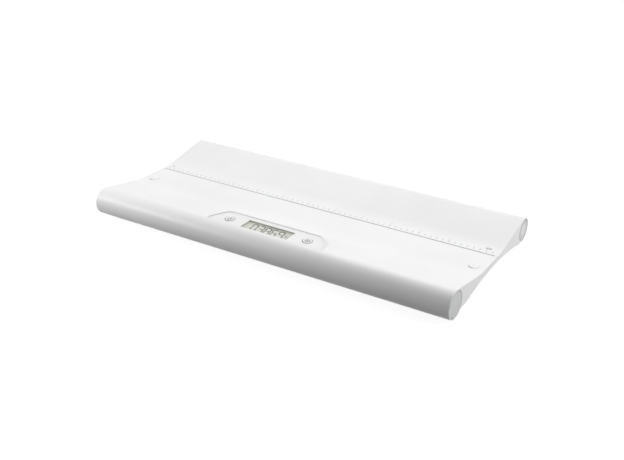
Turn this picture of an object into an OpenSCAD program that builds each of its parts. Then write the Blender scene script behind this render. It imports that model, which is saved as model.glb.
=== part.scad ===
// Digital baby weighing scale: a one-piece trough tray between two round
// edge tubes, a raised display console on the front tube, and a bottom
// cover that carries four sensing feet and the battery compartment.
// Millimetres. X runs along the tray, Y from front to back, Z up.
// The origin is on the table, under the middle of the scale.

/* [Tray] */
// Overall width, end cap to end cap
tray_w = 630; // [560:1:680]
// Distance between the axes of the two edge tubes
tube_pitch = 253; // [240:0.5:270]
// Outer radius of the front tube
front_r = 22; // [21:0.25:23]
// Outer radius of the rear tube
rear_r = 19.5; // [18.5:0.25:20]
// Height of the front tube's axis above the table
front_z = 25.5; // [25:0.25:26.5]
// Height of the rear tube's axis above the table
rear_z = 29; // [28.5:0.25:30]
// Height of the flat middle of the tray
floor_z = 31.4; // [31:0.1:32]
// Rise angle of the two ramps
ramp_angle = 11.3; // [10.8:0.1:12]
// Radius of the blend from the flat to each ramp
blend_r = 150; // [120:5:170]
// Wall thickness of the mouldings
wall = 2.5; // [2.2:0.1:2.8]
// Thickness of the tray's end walls
end_wall = 3; // [2.6:0.1:3.6]
// Width of the ruler groove across the tray
groove_w = 1.8; // [1:0.1:2]
// Depth of the ruler groove
groove_d = 1.5; // [0.8:0.1:1.6]

/* [Underside] */
// Height of the flat skirts beside the tubes
skirt_z = 10.6; // [10.2:0.1:11]
// Height of the arch's crown
arch_z = 22.5; // [21.5:0.1:23]
// Radius of the arch
arch_r = 430; // [420:5:450]
// Y of the arch's crown
arch_y = 12; // [8:0.5:14]

/* [Console] */
// Y of the console's front edge, on the crest of the front tube
console_front = -124.4; // [-124.6:0.1:-124]
// Y of its rear edge
console_rear = -84.75; // [-86:0.25:-84]
// Half of the straight part of its rear edge
console_half = 75; // [73:0.5:78]
// Radius of its rear corners
console_corner = 20; // [18:0.5:21]
// Slant of its sides against the front-to-back line
console_slant = 26; // [23:0.5:28]
// Thickness of its face
plate_t = 2; // [1.6:0.1:2.2]
// Depth of its sunken face below the rim
face_drop = 1.1; // [0.6:0.1:1.3]
// Width of the rim round its face
rim_w = 1.4; // [1.2:0.1:1.8]
// Bevel of the rim's outer edge
rim_edge = 0.5; // [0.2:0.1:0.6]

/* [Display] */
// Width of the display opening
lcd_w = 83.3; // [78:0.1:86]
// Depth of the display opening, front to back
lcd_d = 25.5; // [24:0.1:26]
// Y of the front edge of the display opening
lcd_front = -121; // [-121.2:0.1:-120.5]
// Depth of the display's window below the console's face
lcd_recess = 2.5; // [2.3:0.1:2.8]

/* [Buttons] */
// Distance of each button from the middle
button_x = 70.3; // [68:0.1:73]
// Y of the buttons
button_y = -107.8; // [-109:0.1:-106]
// Radius of the button caps
button_r = 7.6; // [6.5:0.1:8]
// Gap round the caps
button_gap = 0.5; // [0.3:0.05:0.6]
// Height of the caps above the console's face
button_rise = 0.5; // [0.2:0.1:0.8]

/* [Feet] */
// Distance of each foot from the middle, along X
foot_x = 262; // [250:1:265]
// Distance of each foot from the middle, along Y
foot_y = 92; // [90:0.5:93]
// Outer radius of the round foot housings
pod_r = 23; // [22.5:0.1:23.5]
// Radius of the rubber pads
pad_r = 17; // [15:0.1:17.2]

/* [Batteries] */
// Radius of a battery cell
cell_r = 7.1; // [6.9:0.05:7.15]
// Length of a battery cell
cell_l = 50; // [49:0.1:50.5]

/* [Hidden] */

$fn = 72;

shell_white = [0.93, 0.93, 0.93];
base_white = [0.88, 0.88, 0.88];
cap_grey = [0.80, 0.80, 0.80];
key_white = [0.86, 0.87, 0.87];
steel = [0.72, 0.73, 0.75];

// Section of the whole body, seen along X
front_y = -(tube_pitch + rear_r - front_r) / 2;
rear_y = front_y + tube_pitch;
top_z = front_z + front_r;
face_z = top_z - face_drop;
plate_low = face_z - plate_t;
window_z = face_z - lcd_recess;
arch_rise = arch_z - skirt_z;

// Tray end details
cap_lip = 2;          // width of the tube rim left round a cap's seat
cap_t = 1.8;          // thickness of a cap's disc
cap_ring = 0.8;       // open ring between a cap's disc and the rim
cap_fit = 0.15;       // fit of a cap's sleeve in the end wall
cap_step = 2.4;       // width of the seat behind a disc
cap_sleeve = 6;       // depth of a cap's sleeve
cap_edge = 0.6;       // rounding of a disc's edge
prong_gap = 2;        // width of the slots that split a sleeve

// Seam between the two mouldings
seam = 0.25;
seam_front_y = front_y - 6;
seam_rear_y = rear_y + 5;

// Ruler groove along the tray
groove_y = 20.65;
groove_end = 4;       // length left closed at each end

// Plugs in the tray floor
plug_x = 297;
plug_y = -22.5;
plug_r = 8;
plug_depth = 1.2;
plug_gap = 0.35;
plug_rise = 0.5;      // height of a plug's edge above the tray
plug_dome = 0.2;      // rise of its middle over its edge
plug_edge = 0.4;      // rounding of its edge
plug_stem_r = 2.4;

// Screws that hold the two mouldings together
screw_x = [-288, -145, 0, 145, 288];
screw_y = [-60, 70];
post_r = 3.8;
post_foot = 6;        // height of the posts' seats above the underside
head_r = 2.8;
head_up = 1;          // depth of the screw heads in the underside
head_t = 2;
shank_r = 1.25;

// Ribs inside the mouldings
rib_t = 1.6;
front_rib_x = [125, 175, 225];
rear_rib_x = [0, 75, 150, 225];
rib_bore = 10;        // radius of the hole through each tube rib
skin_ribs = [[-80, 4], [-36, 1.6], [groove_y, 0.8], [40, 1.8],
    [92, 5]];         // Y and depth of each rib under the tray's skin
cover_rib_x = [72, 108, 185, 245];

// Console inside
skirt_in = 2.6;       // the console's skirt, inward from the outline
skirt_t = 2.4;
skirt_low = 36;
hook_l = 10;
hook_t = 1.5;
board_z = 36.2;
board_t = 1.6;
board_x = console_half + 2;
board_front = -121;
board_rear = -91;
boss_x = 54;
boss_y = [-117.5, -93.5];
boss_r = 2.8;
boss_bore = 1.05;
collar_t = 1.5;

// Buttons
key_stem_r = 2;
key_flange = 1.5;     // width of the flange that keeps a button in
key_flange_t = 1.2;
key_play = 0.3;       // gap between the flange and the console's face
key_edge = 0.5;       // rounding of a cap's edge
key_dish = 0.5;       // depth of the hollow in a cap

// Display stack: window, glass, frame and contact strips on the board
stack_front = board_front - 0.8;
window_half = 45.5;
window_rear = -92.2;
window_t = 1.2;
glass_half = 44.5;
glass_front = stack_front + 0.2;
glass_rear = -92.6;
glass_t = 2.8;
glass_z = window_z - window_t;
glass_play = 0.2;
frame_half = 48;
frame_rear = -91.4;
frame_lip = 2.5;      // ledge that carries the glass's edge
strip_half = 40;
strip_w = 2;
strip_y = [-119.3, -96.3];

// Parts under the board
socket_x = 68;
socket_y = -101;
socket_t = 3.2;
battery_socket_x = 42;
battery_socket_y = -113;
buzzer_at = [-32, -104];
buzzer_r = 6;
buzzer_t = 4;
switch_t = 3.4;
switch_floor = 1.2;
plunger_r = 1.75;
plunger_low = board_z + board_t + 2;
plunger_t = 2.5;

// Foot housing heights, the same at all four feet
pod_low = 3.6;
pod_in_r = 20.5;
pod_ceiling = 12.9;
pod_front_top = 17.5;
pod_rear_top = 21.6;
carrier_r = pod_in_r - 0.3;
carrier_low = 4;
carrier_lip = 17.9;   // radius of the opening that keeps the foot in
carrier_bore = 18.8;
cell_z = 7.6;
cell_t = 1.6;
cell_half = 15;
cell_corner = 5;
tongue_half = 8;      // half width of a load cell's middle tongue
slot_w = 2;
foot_r = 17.4;
foot_flange_r = 18.5;
foot_flange_low = 5;
foot_flange_high = 6.1;
pad_t = 2.2;
peg_r = 3.1;          // peg that holds a pad in its foot
peg_top = 4.1;
lead_hole_r = 2;
lead_off = 8;

// Battery compartment
bay_x = 55.6;
bay_front = -105.6;
bay_rear = -72.4;
bay_wall = 1.8;
bay_top = 29.9;
door_x = 58;
door_front = -108.2;
door_rear = -69.2;
door_gap = 0.35;
row_y = [-97.1, -80.9];
row_z = 22.4;
cell_shift = 3.2;     // each row lies this far off the middle
pole_r = 2.7;
pole_t = 1.3;
contact_t = 0.6;
contact_half = 6;
wire_r = 0.35;        // spring wire
spring_turns = 4;
bay_lead_x = bay_x - 8;
bay_lead_y = bay_rear - 12;
tab_x = 36;
tab_w = 12;
tab_up = 3.7;         // height of the tabs above the door's pivot
latch_w = 16;
latch_top = 20;
ledge_up = wall + 0.6;

// Points of an arc
function arc(c, r, a0, a1, n) =
    [for (k = [0:n]) c + r * [cos(a0 + (a1 - a0) * k / n),
                              sin(a0 + (a1 - a0) * k / n)]];

// Y of the centre of a blend, from a tube's axis: side is 1 for the front
function blend_y(y, z, r, side) =
    y + side * (r + blend_r + cos(ramp_angle) * (z - floor_z - blend_r))
        / sin(ramp_angle);
front_blend = [blend_y(front_y, front_z, front_r, 1), floor_z + blend_r];
rear_blend = [blend_y(rear_y, rear_z, rear_r, -1), floor_z + blend_r];

// Height of the underside at a given Y
function under_z(y) = max(skirt_z,
    arch_z - arch_r + sqrt(arch_r * arch_r - pow(y - arch_y, 2)));
// Height of a front ramp's surface at a given Y
function ramp_z(y) = front_z + (front_r - sin(ramp_angle) * (y - front_y))
    / cos(ramp_angle);

// Height of the tray skin's inner face at a given Y
function skin_z(y) = max(floor_z, ramp_z(y),
        rear_z + (rear_r + sin(ramp_angle) * (y - rear_y)) / cos(ramp_angle))
    - wall / cos(ramp_angle);

// Closed outline of the body's section, moved inward by i
function section(i) = let (
        fr = front_r - i, rr = rear_r - i, br = blend_r + i,
        ar = arch_r + i, zs = skirt_z + i,
        half = sqrt(ar * ar - pow(ar - arch_rise, 2)),
        swing = asin(half / ar))
    concat(
        arc([front_y, front_z], fr, 90 - ramp_angle,
            360 - asin((front_z - zs) / fr), 60),
        arc([arch_y, arch_z - arch_r], ar, 90 + swing, 90 - swing, 14),
        arc([rear_y, rear_z], rr, 180 + asin((rear_z - zs) / rr),
            450 + ramp_angle, 54),
        arc(rear_blend, br, 270 + ramp_angle, 270, 4),
        arc(front_blend, br, 270, 270 - ramp_angle, 4));

// The bottom cover's share of the section: below a line that runs
// through the middle of the hollow, between the two seams
function cover_zone(gap) =
    let (mid = arch_r + wall + 0.8, swing = 13)
    concat(
        [[seam_front_y + gap, -5], [seam_rear_y - gap, -5],
         [seam_rear_y - gap, rear_z - 8]],
        arc([arch_y, arch_z - arch_r], mid, 90 - swing, 90 + swing, 12),
        [[seam_front_y + gap, front_z - 8]]);

// Plan of the console, moved outward by g, with its front edge at y0
function console_plan(g, y0) = let (
        c = [console_half, console_rear - console_corner],
        r = console_corner + g,
        xf = c.x + (r - (y0 - c.y) * sin(console_slant)) / cos(console_slant))
    concat([[-xf, y0], [xf, y0]],
        arc(c, r, console_slant, 90, 8),
        arc([-c.x, c.y], r, 90, 180 - console_slant, 8));

// Extrudes a Y-Z section along X, about the middle
module along_x(length) {
    rotate([90, 0, 90]) linear_extrude(length, center = true) children();
}

module block(low, high) {
    translate(low) cube(high - low);
}

module rod_x(r, length) {
    rotate([0, 90, 0]) cylinder(r = r, h = length, center = true);
}

// Places a piece at a foot: sx is -1 or 1 for left or right, sy for
// front or rear
module at_foot(sx, sy) {
    translate([sx * foot_x, sy * foot_y, 0]) children();
}

module at_feet() {
    for (sx = [-1, 1], sy = [-1, 1]) at_foot(sx, sy) children();
}

module at_bosses() {
    for (s = [-1, 1], y = boss_y) translate([s * boss_x, y, 0]) children();
}

module at_screws() {
    for (x = screw_x, y = screw_y) translate([x, y, under_z(y)]) children();
}

// Screw posts that hang from the tray's skin to the bottom cover
module posts() {
    intersection() {
        for (x = screw_x, y = screw_y)
            translate([x, y, under_z(y) + post_foot])
                cylinder(r = post_r, h = 20);
        along_x(tray_w - 2) polygon(section(wall / 2));
    }
}

// Half-round rib across a tube, with a hole through it
module tube_rib(x, y, z, r) {
    intersection() {
        translate([x, y, z]) difference() {
            rod_x(r - wall + 0.4, rib_t);
            rod_x(rib_bore, 3 * rib_t);
        }
        block([x - rib_t, y - r, z - r / 4], [x + rib_t, y + r, z + r]);
    }
}

module tray_ribs() {
    for (s = [-1, 1], x = front_rib_x)
        tube_rib(s * x, front_y, front_z, front_r);
    for (s = [-1, 1], x = rear_rib_x)
        if (s > 0 || x > 0) tube_rib(s * x, rear_y, rear_z, rear_r);
    intersection() {
        for (rib = skin_ribs)
            block([-tray_w / 2 + 20, rib[0] - rib_t / 2, skin_z(rib[0]) - rib[1]],
                  [tray_w / 2 - 20, rib[0] + rib_t / 2, skin_z(rib[0]) + 1]);
        along_x(tray_w) polygon(section(wall / 2));
    }
}

// Low ribs across the bottom cover
module cover_ribs() {
    for (s = [-1, 1], x = cover_rib_x) intersection() {
        translate([s * x, 0, 0]) along_x(rib_t) difference() {
            polygon(section(wall - 0.4));
            polygon(section(wall + 1.9));
        }
        block([s * x - 5, -50, 0], [s * x + 5, 60, arch_z + wall + 2]);
    }
}

module cap_seats(y, z, r) {
    for (s = [-1, 1]) translate([s * tray_w / 2, y, z]) {
        rod_x(r - cap_lip, 2 * cap_t);
        rod_x(r - cap_lip - cap_step, 4 * end_wall);
    }
}

module tray_shell() {
    color(shell_white) difference() {
        union() {
            difference() {
                along_x(tray_w) polygon(section(0));
                along_x(tray_w - 2 * end_wall) polygon(section(wall));
                along_x(tray_w - 2 * end_wall) polygon(cover_zone(0));
            }
            posts();
            tray_ribs();
        }
        cap_seats(front_y, front_z, front_r);
        cap_seats(rear_y, rear_z, rear_r);
        at_screws() translate([0, 0, 1]) cylinder(r = shank_r + 0.05, h = 13);
        translate([0, 0, skirt_low]) linear_extrude(20)
            polygon(console_plan(-skirt_in + 0.2, console_front - 0.2));
        along_x(tray_w - 2 * groove_end) polygon([
            [groove_y - groove_w / 2, floor_z + 1],
            [groove_y - groove_w / 2 + 0.15, floor_z - groove_d],
            [groove_y + groove_w / 2 - 0.15, floor_z - groove_d],
            [groove_y + groove_w / 2, floor_z + 1]]);
        for (s = [-1, 1]) translate([s * plug_x, plug_y, floor_z]) {
            translate([0, 0, -plug_depth])
                cylinder(r = plug_r + plug_gap, h = 5);
            translate([0, 0, -5]) cylinder(r = plug_stem_r + 0.1, h = 6);
        }
    }
}

// Outside of the battery compartment: its walls, and the ledge that
// frames the door
module bay_walls() {
    block([-bay_x - bay_wall, bay_front - bay_wall, skirt_z + 1],
          [bay_x + bay_wall, bay_rear + bay_wall, bay_top + bay_wall]);
    along_x(2 * (door_x + bay_wall)) polygon([
        [door_front - bay_wall, skirt_z + 1],
        [door_rear + bay_wall, under_z(door_rear) + 1],
        [door_rear + bay_wall, under_z(door_rear) + ledge_up + bay_wall],
        [door_front - bay_wall, skirt_z + ledge_up + bay_wall]]);
}

// Slots for the door's two tabs, and the notch for its latch
module door_slots() {
    low = under_z(door_rear);
    for (s = [-1, 1]) translate([s * tab_x, 0, 0])
        along_x(tab_w + 1) polygon([[bay_rear - 1, low + 1],
            [door_rear, low + 1], [door_rear, low + 3.1],
            [door_rear + 5, low + 3.1], [door_rear + 5, low + 9.5],
            [bay_rear - 1, low + 9.5]]);
    block([-latch_w / 2 - 0.5, door_front, skirt_z - 3],
          [latch_w / 2 + 0.5, bay_front + 1, latch_top + 1]);
}

module base_shell() {
    color(base_white) difference() {
        union() {
            intersection() {
                difference() {
                    along_x(tray_w - 2 * end_wall - 2 * seam)
                        polygon(section(0));
                    along_x(tray_w) polygon(section(wall));
                }
                along_x(tray_w) polygon(cover_zone(seam));
            }
            at_screws() translate([0, 0, 0.8])
                cylinder(r = head_r + 2.2, h = post_foot - 0.8);
            for (s = [-1, 1]) {
                at_foot(s, -1) pod(pod_front_top);
                at_foot(s, 1) pod(pod_rear_top);
            }
            bay_walls();
            cover_ribs();
        }
        at_screws() {
            translate([0, 0, -3]) cylinder(r = head_r + 0.3, h = 6);
            translate([0, 0, 2]) cylinder(r = shank_r + 0.35, h = 8);
        }
        at_feet() {
            translate([0, 0, 1])
                cylinder(r = pod_in_r, h = pod_ceiling - 1);
            translate([0, lead_off, 1]) cylinder(r = lead_hole_r, h = 30);
        }
        block([-bay_x, bay_front, skirt_z - 3], [bay_x, bay_rear, bay_top]);
        along_x(2 * door_x) polygon([
            [door_front, skirt_z - 3], [door_rear, skirt_z - 3],
            [door_rear, under_z(door_rear) + ledge_up],
            [door_front, skirt_z + ledge_up]]);
        door_slots();
        translate([bay_lead_x, bay_lead_y, bay_top - 3])
            cylinder(r = 2, h = 8);
    }
}

// Round housing of one foot, closed at the top
module pod(top) {
    translate([0, 0, pod_low]) cylinder(r = pod_r, h = top - pod_low);
}

// Snap-in cap of a tube end: s is -1 at the left end, 1 at the right
module end_cap(s, y, z, r) {
    disc_r = r - cap_lip - cap_ring;
    sleeve_r = r - cap_lip - cap_step - cap_fit;
    color(cap_grey) translate([s * tray_w / 2, y, z])
        rotate([0, s * 90, 0]) translate([0, 0, -cap_t]) difference() {
            union() {
                rotate_extrude() polygon(concat([[0, 0], [disc_r, 0]],
                    arc([disc_r - cap_edge, cap_t - cap_edge], cap_edge,
                        0, 90, 3), [[0, cap_t]]));
                translate([0, 0, -cap_sleeve])
                    cylinder(r = sleeve_r, h = cap_sleeve + 0.2);
            }
            translate([0, 0, -cap_sleeve - 1])
                cylinder(r = sleeve_r - 1.8, h = cap_sleeve + 1);
            for (a = [0:90:270]) rotate(a)
                translate([r / 2, -prong_gap / 2, -cap_sleeve - 1])
                    cube([r, prong_gap, cap_sleeve - 0.5]);
        }
}

module front_left_cap() { end_cap(-1, front_y, front_z, front_r); }
module front_right_cap() { end_cap(1, front_y, front_z, front_r); }
module rear_left_cap() { end_cap(-1, rear_y, rear_z, rear_r); }
module rear_right_cap() { end_cap(1, rear_y, rear_z, rear_r); }

// Round plug that closes a hole in the tray's floor
module tray_plug(s) {
    color(shell_white) translate([s * plug_x, plug_y, floor_z]) {
        rotate_extrude() polygon(concat(
            [[0, -plug_depth], [plug_r, -plug_depth]],
            arc([plug_r - plug_edge, plug_rise - plug_edge], plug_edge,
                0, 80, 3),
            [[plug_r / 2, plug_rise + plug_dome * 0.75],
             [0, plug_rise + plug_dome]]));
        translate([0, 0, -4.2]) cylinder(r = plug_stem_r, h = 3.2);
    }
}

module left_tray_plug() { tray_plug(-1); }
module right_tray_plug() { tray_plug(1); }

// Block with slanted sides that follows the tray's surface, with a sunken
// face, and a skirt that drops through the tray's opening
module console_block() {
    difference() {
        hull() {
            translate([0, 0, top_z - 0.01]) linear_extrude(0.01)
                polygon(console_plan(-rim_edge, console_front));
            translate([0, 0, top_z - rim_edge]) linear_extrude(0.01)
                polygon(console_plan(0, console_front));
            translate([0, 0, skirt_low]) linear_extrude(0.01)
                polygon(console_plan(top_z - skirt_low, console_front));
        }
        translate([0, 0, face_z]) linear_extrude(5)
            polygon(console_plan(-rim_w, console_front + rim_w));
        difference() {
            along_x(tray_w / 2) polygon(section(0));
            translate([0, 0, 20]) linear_extrude(40)
                polygon(console_plan(-skirt_in, console_front));
        }
        console_hollow();
        block([-lcd_w / 2, lcd_front, plate_low - 9],
              [lcd_w / 2, lcd_front + lcd_d, top_z + 1]);
        for (s = [-1, 1]) translate([s * button_x, button_y, plate_low - 3])
            cylinder(r = button_r + button_gap, h = 10);
        at_bosses() translate([0, 0, board_z])
            cylinder(r = boss_bore, h = 8);
    }
}

// Space inside the console, less the display's collar and the bosses
module console_hollow() {
    difference() {
        translate([0, 0, 30]) linear_extrude(plate_low - 30)
            polygon(console_plan(-skirt_in - skirt_t,
                                 console_front + skirt_t));
        block([-lcd_w / 2 - collar_t, lcd_front - 5, window_z],
              [lcd_w / 2 + collar_t, lcd_front + lcd_d + collar_t, top_z]);
        at_bosses() translate([0, 0, board_z + board_t])
            cylinder(r = boss_r, h = 20);
    }
}

// Hooks on the skirt that catch under the tray's skin
module console_hooks() {
    rear = console_rear - skirt_in;
    for (s = [-1, 1]) {
        block([s * 50 - hook_l / 2, rear - 1, skirt_low],
              [s * 50 + hook_l / 2, rear + 1.3, skirt_low + hook_t]);
        block([s * 60 - hook_l / 2, console_front - 1.4, 44.7 - hook_t],
              [s * 60 + hook_l / 2, console_front + 1, 44.7]);
    }
}

module console_housing() {
    color(shell_white) {
        console_block();
        console_hooks();
    }
}

// Button: a cap in the console's bore, a flange under it and a stem
module button(s) {
    cap_top = face_z + button_rise;
    stem_low = plunger_low + plunger_t;
    flange_top = plate_low - key_play;
    flange_low = flange_top - key_flange_t;
    flange_r = button_r + key_flange;
    color(key_white) translate([s * button_x, button_y, 0])
        rotate_extrude() polygon(concat([[0, stem_low],
            [key_stem_r, stem_low], [key_stem_r, flange_low],
            [flange_r, flange_low], [flange_r, flange_top],
            [button_r, flange_top]],
            arc([button_r - key_edge, cap_top - key_edge], key_edge, 0, 90, 3),
            [[button_r - 3 * key_edge, cap_top - key_dish * 0.3],
             [button_r / 2, cap_top - key_dish * 0.8],
             [0, cap_top - key_dish]]));
}

module power_button() { button(-1); }
module hold_button() { button(1); }

module lcd_window() {
    color([0.7, 0.75, 0.72, 0.4])
        block([-window_half, stack_front, glass_z],
              [window_half, window_rear, window_z]);
}

module lcd_panel() {
    color([0.70, 0.72, 0.66])
        block([-glass_half, glass_front, glass_z - glass_t],
              [glass_half, glass_rear, glass_z]);
}

module lcd_frame() {
    color([0.85, 0.85, 0.85]) difference() {
        block([-frame_half, stack_front, board_z + board_t],
              [frame_half, frame_rear, glass_z]);
        block([-glass_half - glass_play, glass_front - glass_play / 2,
               glass_z - glass_t - 0.1],
              [glass_half + glass_play, glass_rear + glass_play, top_z]);
        block([frame_lip - glass_half, stack_front + frame_lip - 0.3, board_z],
              [glass_half - frame_lip, frame_rear - frame_lip - 0.1, top_z]);
    }
}

module zebra_strips() {
    color([0.25, 0.25, 0.27]) for (y = strip_y)
        block([-strip_half, y, board_z + board_t],
              [strip_half, y + strip_w, glass_z - glass_t]);
}

module main_board() {
    color([0.10, 0.35, 0.18]) difference() {
        block([-board_x, board_front, board_z],
              [board_x, board_rear, board_z + board_t]);
        at_bosses() translate([0, 0, board_z - 1]) cylinder(r = 1.4, h = 5);
    }
}

// Box under the board, size wide and deep, t thick
module under_board(x, y, size, t) {
    translate([x, y, board_z - t / 2])
        cube([size.x, size.y, t], center = true);
}

// Parts soldered under the board: a chip, capacitors and lead sockets
module board_components() {
    color([0.15, 0.15, 0.16]) {
        under_board(0, -105, [18, 14], 1.8);
        for (x = [22, 30]) translate([x, -100, board_z - 4])
            cylinder(r = 2.5, h = 4);
        for (s = [-1, 1])
            under_board(s * socket_x, socket_y, [10, 6], socket_t);
        under_board(battery_socket_x, battery_socket_y, [8, 6], socket_t);
    }
}

module switch_body(s) {
    color([0.2, 0.2, 0.2])
        translate([s * button_x, button_y, board_z + board_t]) difference() {
            block([-3, -3, 0], [3, 3, switch_t]);
            translate([0, 0, switch_floor])
                cylinder(r = plunger_r + 0.1, h = switch_t);
        }
}

module power_switch() { switch_body(-1); }
module hold_switch() { switch_body(1); }

module plunger(s) {
    color([0.55, 0.1, 0.1])
        translate([s * button_x, button_y, plunger_low])
            cylinder(r = plunger_r, h = plunger_t);
}

module power_plunger() { plunger(-1); }
module hold_plunger() { plunger(1); }

module buzzer() {
    color([0.1, 0.1, 0.1])
        translate([buzzer_at.x, buzzer_at.y, board_z - buzzer_t])
            difference() {
                cylinder(r = buzzer_r, h = buzzer_t);
                translate([0, 0, -1]) cylinder(r = 1, h = 2);
            }
}

// Pan-head screw that points up, its head's upper face at z = 0
module screw(shank, length, head) {
    translate([0, 0, -head_t]) difference() {
        cylinder(r = head, h = head_t);
        for (a = [0, 90]) rotate(a)
            translate([-head * 0.6, -0.35, -0.1]) cube([head * 1.2, 0.7, 0.9]);
    }
    translate([0, 0, -0.2]) cylinder(r = shank, h = length + 0.2);
}

module board_screws() {
    color(steel) at_bosses() translate([0, 0, board_z]) screw(1, 7, 2.3);
}

module base_screws() {
    color(steel) at_screws() translate([0, 0, head_up + head_t])
        screw(shank_r, 10, head_r);
}

// Carrier: holds a load cell against the housing's ceiling and keeps the
// foot from falling out
module cell_carrier(sx, sy) {
    seat = cell_z + cell_t;
    color([0.8, 0.8, 0.82]) at_foot(sx, sy) difference() {
        rotate_extrude() polygon([[0, seat], [carrier_bore, seat],
            [carrier_bore, carrier_low + 0.9], [carrier_lip, carrier_low + 0.6],
            [carrier_lip, carrier_low], [carrier_r, carrier_low],
            [carrier_r, pod_ceiling], [0, pod_ceiling]]);
        translate([0, 0, seat - 1]) cylinder(r = 11, h = 3);
        translate([0, lead_off, 1]) cylinder(r = lead_hole_r, h = 30);
    }
}

module front_left_cell_carrier() { cell_carrier(-1, -1); }
module front_right_cell_carrier() { cell_carrier(1, -1); }
module rear_left_cell_carrier() { cell_carrier(-1, 1); }
module rear_right_cell_carrier() { cell_carrier(1, 1); }

// Load cell: a steel plate with a slot round its middle tongue
module load_cell(sx, sy) {
    h = cell_half;
    c = h - cell_corner;
    slot = tongue_half + slot_w;
    color(steel) at_foot(sx, sy) translate([0, 0, cell_z]) difference() {
        linear_extrude(cell_t) polygon([[-h, -c], [-c, -h], [c, -h], [h, -c],
            [h, c], [c, h], [-c, h], [-h, c]]);
        for (s = [-1, 1])
            block([s * (slot - slot_w / 2) - slot_w / 2, -slot - 1, -1],
                  [s * (slot - slot_w / 2) + slot_w / 2, slot - 1, 3]);
        block([-slot, -slot - 1, -1], [slot, slot_w - slot - 1, 3]);
    }
}

module front_left_load_cell() { load_cell(-1, -1); }
module front_right_load_cell() { load_cell(1, -1); }
module rear_left_load_cell() { load_cell(-1, 1); }
module rear_right_load_cell() { load_cell(1, 1); }

// Foot: a disc with a flange, and a boss that presses on the load cell
module foot(sx, sy) {
    color([0.8, 0.8, 0.8]) at_foot(sx, sy) rotate_extrude() polygon([
        [peg_r + 0.1, pad_t], [foot_r, pad_t], [foot_r, foot_flange_low],
        [foot_flange_r, foot_flange_low], [foot_flange_r, foot_flange_high],
        [6, foot_flange_high], [4.5, cell_z], [0, cell_z],
        [0, peg_top + 0.1], [peg_r + 0.1, peg_top + 0.1]]);
}

module front_left_foot() { foot(-1, -1); }
module front_right_foot() { foot(1, -1); }
module rear_left_foot() { foot(-1, 1); }
module rear_right_foot() { foot(1, 1); }

// Rubber pad with a ring groove in its face and a peg into the foot
module foot_pad(sx, sy) {
    color([0.35, 0.35, 0.36]) at_foot(sx, sy) rotate_extrude() polygon([
        [0, 0], [pad_r - 6, 0], [pad_r - 5.6, 0.6], [pad_r - 4.4, 0.6],
        [pad_r - 4, 0], [pad_r - 0.8, 0], [pad_r - 0.2, 0.2], [pad_r, 0.8],
        [pad_r, pad_t], [peg_r, pad_t], [peg_r, peg_top], [0, peg_top]]);
}

module front_left_foot_pad() { foot_pad(-1, -1); }
module front_right_foot_pad() { foot_pad(1, -1); }
module rear_left_foot_pad() { foot_pad(-1, 1); }
module rear_right_foot_pad() { foot_pad(1, 1); }

// Four cells in two rows, turned end for end from row to row
module batteries() {
    color([0.25, 0.3, 0.35]) for (k = [0, 1], s = [-1, 1])
        translate([s * cell_l / 2 + (k == 0 ? 1 : -1) * cell_shift,
                   row_y[k], row_z])
            rotate([0, k == 0 ? 90 : -90, 0]) translate([0, 0, -cell_l / 2])
                rotate_extrude() polygon([[0, 0], [cell_r - 0.8, 0],
                    [cell_r, 0.6], [cell_r, cell_l - pole_t - 0.5],
                    [cell_r - 0.8, cell_l - pole_t],
                    [pole_r, cell_l - pole_t], [pole_r, cell_l],
                    [0, cell_l]]);
}

module battery_contacts() {
    bump = bay_x - contact_t - cell_l - cell_shift;
    color(steel) for (s = [-1, 1]) {
        translate([s * (bay_x - contact_t / 2), (row_y[0] + row_y[1]) / 2, row_z])
            cube([contact_t, row_y[1] - row_y[0] + 2 * contact_half,
                  2 * contact_half], center = true);
        translate([s * (bay_x - 0.5 - bump / 2), row_y[s > 0 ? 0 : 1], row_z])
            rod_x(pole_r - 0.1, bump + 0.2);
    }
}

function helix(r0, r1, x0, x1, turns, n) = [for (k = [0:n])
    let (t = k / n, r = r0 + (r1 - r0) * t, a = 360 * turns * t)
    [x0 + (x1 - x0) * t, r * cos(a), r * sin(a)]];

function unit(v) = v / norm(v);
function tangent(p, k) = unit(p[min(k + 1, len(p) - 1)] - p[max(k - 1, 0)]);
// Side vectors along a path, each the last one turned as little as needed
function sides_of(p) = [
    for (k = 0, v = unit(cross(tangent(p, 0), [0.31, 0.17, 0.93]));
         k < len(p);
         k = k + 1,
         v = k < len(p)
             ? unit(v - (v * tangent(p, k)) * tangent(p, k)) : v) v];

// Round tube swept along a path
module sweep(path, r, n) {
    side = sides_of(path);
    rings = len(path);
    points = [for (k = [0:rings - 1], j = [0:n - 1])
        let (t = tangent(path, k), u = side[k], v = cross(t, u))
        path[k] + r * (cos(360 * j / n) * u + sin(360 * j / n) * v)];
    walls = [for (k = [0:rings - 2], j = [0:n - 1], h = [0, 1])
        let (a = k * n + j, b = k * n + (j + 1) % n)
        h == 0 ? [a, a + n, b] : [b, a + n, b + n]];
    polyhedron(points = points, faces = concat(walls,
        [[for (j = [0:n - 1]) j]],
        [[for (j = [n - 1:-1:0]) (rings - 1) * n + j]]));
}

// Cone-shaped coil springs, one at the flat end of each pair of cells
module battery_springs() {
    color(steel) for (k = [0, 1]) {
        s = k == 0 ? -1 : 1;
        translate([0, row_y[k], row_z])
            sweep(helix(5.4, 2.6, s * (bay_x - contact_t - 0.4),
                        s * (cell_l - cell_shift + 0.4), spring_turns,
                        9 * spring_turns), wire_r, 6);
    }
}

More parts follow.
